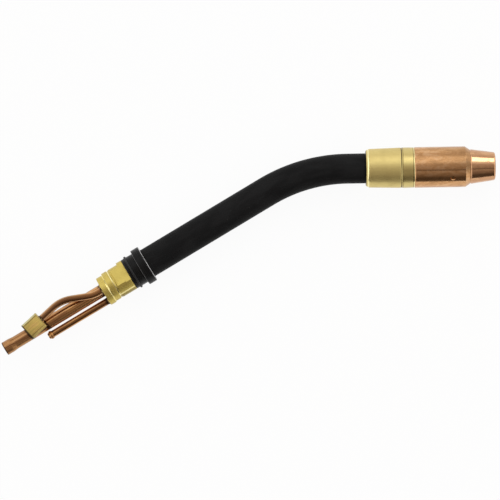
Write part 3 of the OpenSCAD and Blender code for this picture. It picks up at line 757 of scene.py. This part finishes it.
def add_floor():
    """A matt floor that keeps its shadow, and that the camera and all gloss see nearly white."""
    low = cad_low.z - FLOOR_DROP
    corners = [(x * FLOOR_HALF, y * FLOOR_HALF, low) for x, y in ((-1, -1), (1, -1), (1, 1), (-1, 1))]
    mesh = bpy.data.meshes.new("floor")
    mesh.from_pydata(corners, [], [(0, 1, 2, 3)])
    floor = add_object("floor", mesh)
    paint = Paint("floor", (0.93, 0.93, 0.93), roughness=0.9)
    paint.set("Specular IOR Level", 0.0)
    white = paint.node("ShaderNodeEmission", sockets={"Strength": 1})
    rays = paint.node("ShaderNodeLightPath").outputs
    seen = rays["Is Camera Ray"]
    for ray in ("Is Glossy Ray", "Is Transmission Ray"):
        seen = paint.math("MAXIMUM", seen, rays[ray])
    share = paint.times(seen, FLOOR_WHITE)
    mixer = paint.node("ShaderNodeMixShader", share, paint.shader.outputs[0], white.outputs[0])
    plug(paint.tree, paint.tree.nodes["Material Output"].inputs["Surface"], mixer.outputs[0])
    mesh.materials.append(paint.material)


def add_softbox(name, angle, sideways, away, width, length, power):
    """An area lamp that looks at the object. angle is from straight above towards the picture's top, sideways
    towards its right, in degrees; sizes are in metres."""
    lamp_data = bpy.data.lights.new(name, "AREA")
    lamp_data.shape = "RECTANGLE"
    lamp_data.size = length
    lamp_data.size_y = width
    lamp_data.energy = power
    lamp = add_object(name, lamp_data)
    up, side = radians(angle), radians(sideways)
    out = (UP * cos(up) + upward * sin(up)) * cos(side) + right * sin(side)
    y_axis = out.cross(right).normalized()
    x_axis = y_axis.cross(out).normalized()
    lamp.matrix_world = frame_at(centre * MM + out * away, x_axis, y_axis, out)
    lamp.visible_camera = False


STRIPS = [(-90, 0.1), (-64, 0.09), (-56, 0.17), (-44, 0.26), (-31, 0.36), (-24, 0.4), (-20.5, 0.16),
          (-17.5, 0.16), (-13, 0.38), (0, 0.45), (13, 0.56), (26, 1.0), (34, 1.1), (56, 1.04), (66, 0.78),
          (90, 0.82)]
SCREENS = [(0.6, 1.5), (0.78, 1.5), (0.88, 0.88), (0.98, 0.3)]
SCREEN_BLEND = 0.06  # sine over which the strips turn into the screens


def add_world():
    """A studio of strips along the picture's right, with pale screens at both sides. Each of STRIPS is (angle
    from straight above towards the picture's top, in degrees, brightness); dim strips are warmer. Each of
    SCREENS is (sine of the angle towards a side, brightness)."""
    world = bpy.data.worlds.new("studio")
    bpy.context.scene.world = world
    world.use_nodes = True
    tree = world.node_tree
    place = add_node(tree, "ShaderNodeTexCoord").outputs["Generated"]

    def part(direction):
        product = add_node(tree, "ShaderNodeVectorMath", place, direction, operation="DOT_PRODUCT")
        return product.outputs["Value"]

    def share_of(value, start, end):
        sockets = {"Value": value, "From Min": start, "From Max": end}
        return add_node(tree, "ShaderNodeMapRange", sockets=sockets).outputs["Result"]

    def warmed(level):
        dim = max(0, 1 - level)
        return level, level * (1 - 0.2 * dim), level * (1 - 0.34 * dim)

    angle = add_node(tree, "ShaderNodeMath", part(upward), part(UP), operation="ARCTAN2").outputs[0]
    stops = [((turn + 90) / 180, warmed(level)) for turn, level in STRIPS]
    strips = add_ramp(tree, share_of(angle, -pi / 2, pi / 2), stops)
    sideways = add_node(tree, "ShaderNodeMath", part(right), operation="ABSOLUTE").outputs[0]
    screens = add_ramp(tree, sideways, SCREENS)
    edge = SCREENS[0][0]
    seen = add_mix(tree, share_of(sideways, edge - SCREEN_BLEND, edge), strips, screens)
    plug(tree, tree.nodes["Background"].inputs["Color"], seen)


add_floor()
add_world()
add_softbox("key_softbox", angle=52, sideways=19.5, away=1.6, width=0.8, length=0.36, power=2.6)
bpy.context.scene.view_settings.view_transform = "Standard"


# -------- neck, collar and rubber ring

turned("mount_collar", "neck", "collar", collar_black, ROW, edge=0.18, spacing=every(1.5))
turned("collar_ring", "neck", "rubber", ring_rubber, ROW, edge=0)


def pipe(node, outline, slot, material, place=ROW, bend=None, steps=64, spacing=every(3), edge=0.1):
    """A piece of the neck in place of a CAD node, from its (x, r) outline, laid on a track by bend."""
    outline = with_rows(rounded(outline, edge), spacing)
    return finish_mesh(node, *spin(outline, steps, bend=bend), place, "neck", slot, material)


def add_neck_sleeve():
    start = reach("neck_sleeve")[0]
    end = HEAD_DISTANCE + reach("neck_sleeve", HEAD)[1]
    inner, outer = distances("neck_sleeve", ROW, start)
    outline = [(start, inner), (start, outer), (end, outer), (end, inner)]
    pipe("neck_sleeve", outline, "sleeve", sleeve_black, bend=along_neck, steps=128, edge=0.25)


add_neck_sleeve()


def add_liner():
    """A spiral of spring wire inside the wire tube."""
    start = reach("wire_liner")[0]
    end = HEAD_DISTANCE + reach("wire_liner", HEAD)[1]
    bore, outer = distances("wire_liner", ROW, start, 2)
    wire, middle = (outer - bore) / 2, (outer + bore) / 2
    pitch, steps, sides = 2 * wire * 1.08, 20, 8  # coils a little apart
    count = int((end - start - 2 * wire) / pitch) * steps + 1
    own = []
    for i in range(count):
        angle = 2 * pi * i / steps
        for k in range(sides):
            side = 2 * pi * k / sides
            x = start + wire + pitch * i / steps + wire * sin(side)
            r = middle + wire * cos(side)
            own.append((x, r * cos(angle), r * sin(angle)))
    vertices = [along_neck(*point) for point in own]
    faces = grid_faces(count, sides) + end_caps(count, sides)
    finish_mesh("wire_liner", vertices, faces, own, ROW, "neck", "steel", liner_steel, 60)


add_liner()


# -------- manifold and tube plate

BODY_SHIFT, BODY_R = round_end("manifold", BODY[0], BODY[0] + 3)
PLATE_SHIFT, PLATE_R = round_end("tube_plate", *PLATE)
SPIGOT_R = distances("manifold", ROW, BODY[1], 1)[1]
SHOULDER_R = max(hypot(p.y, p.z) for p in points_of("manifold", ROW) if p.x > BARREL[0] - 1)
BAND, GROOVE, GROOVE_DEPTH, SHOULDER = 4.2, 2.0, 0.5, 4.2
FACING_EDGE = (0.5, 0.24)  # length and drop of the slope where the body and the plate face each other
FLATS_WIDTH, FLATS_TURN, FLATS_LAND = 18.8, -22, 0.5
SUPPLY_Y = sum(c.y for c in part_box("supply_tube")) / 2 / MM
SUPPLY_PLACE = Matrix.Translation((0, SUPPLY_Y, 0))
SUPPLY = reach("supply_tube")
WATER_BORE, WATER_R = distances("supply_tube", SUPPLY_PLACE, SUPPLY[1])
RETURN_Z = sum(c.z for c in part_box("return_tube")) / 2 / MM
WIRE_BORE, WIRE_R = distances("wire_gas_tube", HEAD, reach("wire_gas_tube", HEAD)[1])


def add_manifold():
    """The rear body: a shoulder round the row's axis, and the rest, with two flats, a little beside it."""
    rear, front = BODY
    shoulder = BARREL[0] - FACE_GAP
    body = shoulder - SHOULDER
    band, groove = rear + BAND, rear + BAND + GROOVE
    flats = groove + FLATS_LAND
    bore, floor_r = 3, BODY_R - GROOVE_DEPTH
    slope, drop = FACING_EDGE
    outline = [(rear, bore, 0), (rear, BODY_R - drop, 0.05), (rear + slope, BODY_R, 0.1),
               (band, BODY_R, 0.12), (band, floor_r, 0.1), (groove - 1, floor_r, 0.1), (groove, BODY_R, 0.12),
               (flats - 0.03, BODY_R, 0), (flats + 0.03, BODY_R, 0), (body - 0.02, BODY_R, 0),
               (body + 0.02, SHOULDER_R, 0), (shoulder, SHOULDER_R, 0.35), (shoulder, SPIGOT_R, 0),
               (front, SPIGOT_R, 0.1), (front, bore, 0)]
    half, up = FLATS_WIDTH / 2, radians(FLATS_TURN)

    def shape(x, r, angle):
        y, z = r * cos(angle), r * sin(angle)
        if r > bore + 0.1 and x <= body:
            y += BODY_SHIFT
        if flats < x < shoulder + 0.01 and r > SPIGOT_R - 0.5:
            off_y = y - BODY_SHIFT
            height = max(-half, min(half, z * cos(up) - off_y * sin(up)))
            side = z * sin(up) + off_y * cos(up)
            y = side * cos(up) - height * sin(up) + BODY_SHIFT
            z = side * sin(up) + height * cos(up)
        return x, y, z

    made = spin(with_rows(rounded(outline, 0.1), every(2)), 192, shape)
    piece = finish_mesh("manifold", *made, ROW, "neck", "brass", body_brass, 28)
    wire_hole = bar([(rear - 1, WIRE_R + BORE_GAP), (front + 1, WIRE_R + BORE_GAP)], steps=96)
    stubs = [bar([(rear - 1, WATER_R + BORE_GAP), (SUPPLY[1], WATER_R + BORE_GAP)], y=y, z=z)
             for y, z in ((SUPPLY_Y, 0), (0, RETURN_Z))]
    cut_holes(piece, [wire_hole] + stubs, smooth=28)


def add_plate():
    rear, front = PLATE
    place = Matrix.Translation((0, PLATE_SHIFT, 0))
    bore = 0.5
    slope, drop = FACING_EDGE
    outline = [(rear, bore, 0), (rear, PLATE_R, 0.35), (front - slope, PLATE_R, 0.1),
               (front, PLATE_R - drop, 0.05), (front, bore, 0)]
    piece = pipe("tube_plate", outline, "brass", body_brass, place, steps=160, spacing=every(2))
    holes = [bar([(rear - 1, radius + BORE_GAP), (front + 1, radius + BORE_GAP)], y=y, z=z)
             for y, z, radius in ((0, 0, WIRE_R), (SUPPLY_Y, 0, WATER_R), (0, RETURN_Z, WATER_R))]
    cut_holes(piece, holes, place)


add_manifold()
add_plate()


# -------- coolant tubes, power block and braze

BLOCK_SOCKET = 4.5  # how deep the return tube goes into the block
SWING, BACK = 22, 34  # degrees that the return tube turns away from the wire tube and back
RETURN_TRACK = [(3, 0), (22 * radians(SWING), -SWING), (12.8, 0), (25 * radians(BACK), BACK),
                (12.4 + BLOCK_SOCKET - FACE_GAP, 0)]
RETURN_LENGTH = sum(length for length, turn in RETURN_TRACK)
RETURN_PLACE = Matrix.Translation((PLATE[0], 0, RETURN_Z)) @ Matrix.Rotation(pi, 4, "Z")
BEAD_R, BEAD_LAND, BEAD_SLOPE, HOSE_TAPER = 3.15, 1.4, 0.6, 1.0
WIDENED = 6.6  # length of the wire tube's wide rear end


def block_place():
    """The frame of the power block: X rearwards along the return tube's end, its origin in the front face."""
    lay = follow(RETURN_TRACK)
    front = Vector(lay(RETURN_LENGTH - BLOCK_SOCKET + FACE_GAP, 0, 0))
    along = (Vector(lay(RETURN_LENGTH, 0, 0)) - front).normalized()
    return RETURN_PLACE @ frame_at(front, along, UP.cross(along), UP)


BLOCK = block_place()
BLOCK_ENDS = reach("power_block", BLOCK)


def shade_by_block(width):
    """The places beside the block's two ends, where drawn_copper() paints shade."""
    back = BLOCK.inverted()
    return [(end - back[0][3], width, back[0][:3]) for end in BLOCK_ENDS]


def add_wire_tube():
    """The thick tube from its widened rear end to its seat in the head."""
    end = HEAD_DISTANCE + reach("wire_gas_tube", HEAD)[1]
    socket_bore, socket = distances("wire_gas_tube", ROW, TAIL_END)
    step = TAIL_END + WIDENED
    outline = [(TAIL_END, socket_bore), (TAIL_END, socket, 0.3), (step - 1, socket, 2),
               (step + 2.5, WIRE_R, 2), (end, WIRE_R), (end, WIRE_BORE), (step, WIRE_BORE),
               (step, socket_bore)]
    # dark bands: tarnish with painted shade at the plate, painted shade at the tail's rim and beside the block
    copper = drawn_copper("wire_tube_copper", (PLATE[0], 3, ALONG), (TAIL_END, 0.9, ALONG),
                          *shade_by_block(1.8), dulled=(TAIL_END, 44, (0.36, 0.185, 0.08), 0.7, 0.34))
    pipe("wire_gas_tube", outline, "tube_copper", copper, bend=along_neck, steps=96)


def add_coolant_tubes():
    rear, front = SUPPLY
    bead = rear + HOSE_TAPER + BEAD_SLOPE
    bead_end = bead + BEAD_LAND
    outline = [(rear, WATER_BORE), (rear, WATER_R - 0.5, 0.1), (rear + HOSE_TAPER, WATER_R, 0.3),
               (bead, BEAD_R, 0.25), (bead_end, BEAD_R, 0.25), (bead_end + BEAD_SLOPE, WATER_R, 0.3),
               (front, WATER_R), (front, WATER_BORE)]
    # a dark band of tarnish with painted shade where the tube leaves the plate
    copper = drawn_copper("supply_copper", (PLATE[0], 3.5, ALONG))
    pipe("supply_tube", outline, "tube_copper", copper, SUPPLY_PLACE)
    start = PLATE[0] - front + FACE_GAP
    outline = [(start, WATER_BORE), (start, WATER_R), (RETURN_LENGTH, WATER_R), (RETURN_LENGTH, WATER_BORE)]
    block = RETURN_LENGTH - BLOCK_SOCKET
    # dark bands: tarnish with painted shade at the plate, painted shade where the tube enters the block
    copper = drawn_copper("return_copper", (0, 1.6, ALONG), (block, 2, ALONG),
                          dulled=(block - 14, 26, (0.24, 0.125, 0.06), 0.95, 0.26))
    pipe("return_tube", outline, "tube_copper", copper, RETURN_PLACE, follow(RETURN_TRACK), spacing=every(1))


def add_power_block():
    """The CAD block's own faces with every sharp edge broken."""
    ys = [p.y for p in points_of("power_block", BLOCK)]
    lower, upper = min(ys), max(ys)
    # a pale painted highlight along one long edge, painted shade lines beside it and along the other long edge,
    # and painted shade at both ends
    block_brass = milled_brass(
        (lower, 1.5, ACROSS, (0.49, 0.47, 0.28)), (lower + 1.55, 0.45, ACROSS, (0.2, 0.15, 0.05)),
        (upper, 2.4, ACROSS, (0.36, 0.27, 0.085)), (upper - 2.1, 0.4, ACROSS, (0.4, 0.29, 0.09)),
        (BLOCK_ENDS[0], 1.0, ALONG, (0.5, 0.38, 0.13)), (BLOCK_ENDS[1], 1.1, ALONG, (0.05, 0.035, 0.02)))
    mesh = CAD["power_block"].data.copy()
    mesh.materials.clear()
    mesh.materials.append(block_brass)
    clean = bmesh.new()
    clean.from_mesh(mesh)
    bmesh.ops.remove_doubles(clean, verts=clean.verts, dist=1e-7)
    bmesh.ops.dissolve_limit(clean, angle_limit=radians(1), verts=clean.verts, edges=clean.edges)
    clean.to_mesh(mesh)
    clean.free()
    piece = add_object("power_block_finish", mesh)
    breaks = piece.modifiers.new("breaks", "BEVEL")
    breaks.width = 0.22 * MM
    breaks.segments = 3
    breaks.limit_method = "ANGLE"
    breaks.angle_limit = radians(32)
    apply_modifiers(piece)
    back = BLOCK.inverted()
    put_own(piece.data, [back @ (v.co / MM) for v in piece.data.vertices])
    smooth_mesh(piece.data, 30)
    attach(piece, "neck")
    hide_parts("power_block")


def add_braze():
    """Beads of brazing metal, thicker here and thinner there, round each tube at the plate and the block."""
    plate_face = Matrix.Translation((PLATE[0], 0, 0))
    beads = [(plate_face, 0, 0, WIRE_R), (plate_face, SUPPLY_Y, 0, WATER_R),
             (plate_face, 0, RETURN_Z, WATER_R), (BLOCK, 0, 0, WATER_R)]
    lump_step, unevenness = 2.2, 0.3
    profile = [(0.02, BORE_GAP), (-0.8, BORE_GAP), (-0.68, 0.16), (-0.36, 0.3), (-0.12, 0.52), (0.02, 0.8)]
    all_vertices, all_faces, all_own = [], [], []
    for number, (place, y, z, radius) in enumerate(beads):
        inner = radius + BORE_GAP

        def shape(x, r, angle):
            spot = Vector((lump_step * cos(angle), lump_step * sin(angle), 7.3 * number))
            lump = 1 + unevenness * noise.noise(spot)
            r = inner + (r - inner) * lump
            return x * lump if x < 0 else x, r * cos(angle) + y, r * sin(angle) + z

        outline = with_rows([(x, radius + rise) for x, rise in profile], every(0.3))
        vertices, faces, own = spin(outline, 96, shape)
        start = len(all_vertices)
        all_vertices += [place @ Vector(v) for v in vertices]
        all_faces += [tuple(start + i for i in face) for face in faces]
        all_own += own
    finish_mesh("braze_fillets", all_vertices, all_faces, all_own, ROW, "neck", "braze", braze, 60,
                "braze_beads")


add_wire_tube()
add_coolant_tubes()
add_power_block()
add_braze()


# -------- head, ring, jacket and tip

PORT_R = 1.3  # of the coolant ports under the insulator
PORT_TURNS = (0, 90)
THREAD_STEP = 0.17  # row spacing that a thread needs


def outer_at(node, x):
    """A node's outer radius about the head's axis, near an x place."""
    return distances(node, HEAD, x, 0.6)[1]


def add_head():
    front = RING[0] - 0.5
    head = turned("head_body", "neck", "brass", brass, edge=0.15, spacing=every(2),
                  slopes=[(front, outer_at("head_body", front), 0.25, 0.12)],
                  rounds=[(-0.1, 0.5, 12, 0.9), (1, 3.5, 12, 4)])
    port = reach("nozzle_ring", HEAD)[1] + PORT_R + 0.2
    nose = outer_at("head_body", reach("head_body", HEAD)[1])
    rings = [(nose - 2.4, PORT_R), (nose + 1, PORT_R)]
    cut_holes(head, [bar(rings, outward(HEAD, port, turn)) for turn in PORT_TURNS], HEAD)


def add_ring():
    """The ring with the thread that carries the jacket."""
    end = reach("nozzle_ring", HEAD)[1]
    outer = outer_at("nozzle_ring", RING[1])
    turned("nozzle_ring", "neck", "brass", fine_brass, slopes=[(x, outer, 0.22, 0.1) for x in RING],
           shape=thread(end - 4.6, end + 0.5, 0.3, outer_at("nozzle_ring", end)),
           spacing=every(2, (end - 4.8, end, THREAD_STEP)))


def add_jacket():
    hole_place = mount_place("spanner_hole")
    hole_x = (HEAD.inverted() @ hole_place.to_translation()).x
    jacket = turned("nozzle_jacket", "nozzle", "nozzle_copper", jacket_copper, steps=224,
                    spacing=every(2, (hole_x - 3, hole_x + 3, 0.4)),
                    slopes=[(JACKET[0], outer_at("nozzle_jacket", JACKET[0]), 0.25, 0.11)])
    hole = [(-0.45, 1.5), (-0.05, 1.5), (0.45, 1.87), (1.0, 2.28)]  # the bore and its countersink
    cut_holes(jacket, [bar(hole, hole_place)], HEAD)


def add_tip():
    """The draw-off tip with the thread at its rear end."""
    rear = reach("nozzle_tip", HEAD)[0]
    turned("nozzle_tip", "tip", "nozzle_copper", cone_copper,
           shape=thread(rear - 0.2, rear + 4.6, 0.28, outer_at("nozzle_tip", rear)),
           spacing=every(2, (rear, rear + 4.6, THREAD_STEP)))


def add_diffuser():
    """The tip holder with its rear thread and a ring of gas holes."""
    rear = reach("gas_diffuser", HEAD)[0]
    sizes = [(hypot(p.y, p.z), p.x) for p in points_of("gas_diffuser", HEAD)]
    outer = max(r for r, x in sizes)
    shoulder = min(x for r, x in sizes if r > outer - 0.05)
    diffuser = turned("gas_diffuser", "diffuser", "brass", brass, edge=0.1,
                      shape=thread(rear - 0.2, shoulder - 0.6, 0.28, outer_at("gas_diffuser", rear)),
                      spacing=every(2, (rear, shoulder, THREAD_STEP)))
    holes, hole_r = 8, 0.9
    rings = [(2, hole_r), (outer - 0.25, hole_r), (outer + 0.3, hole_r + 0.5)]
    turns = [360 / holes * i for i in range(holes)]
    cut_holes(diffuser, [bar(rings, outward(HEAD, shoulder + 5, turn)) for turn in turns], HEAD)


def add_contact_tip():
    """The contact tip with its rear thread and two wrench flats."""
    rear, front = reach("contact_tip", HEAD)
    flats, half = (front - 11, front - 5), 4.2
    cut = thread(rear + 0.2, rear + 8.4, 0.28, outer_at("contact_tip", rear))

    def shape(x, r, angle):
        x, y, z = cut(x, r, angle)
        if flats[0] < x < flats[1]:
            z = max(-half, min(half, z))
        return x, y, z

    turned("contact_tip", "contact", "nozzle_copper", cone_copper, edge=0.1, shape=shape,
           splits=[x + step for x in flats for step in (-0.02, 0.02)],
           spacing=every(2, (rear, rear + 8.6, THREAD_STEP)))


add_head()
add_ring()
add_jacket()
add_tip()
add_diffuser()
add_contact_tip()


# -------- CAD pieces that keep their own meshes

for material, nodes in ((brass_inside, ["liner_bush"]),
                        (inner_copper, ["inner_supply_tube", "inner_return_tube", "jacket_inner_sleeve"]),
                        (resin, ["tube_spacers", "nozzle_insulator"]),
                        (seal_rubber, ["head_seals", "insulator_seals", "jacket_seal"])):
    for node in nodes:
        CAD[node].data.materials.clear()
        CAD[node].data.materials.append(material)
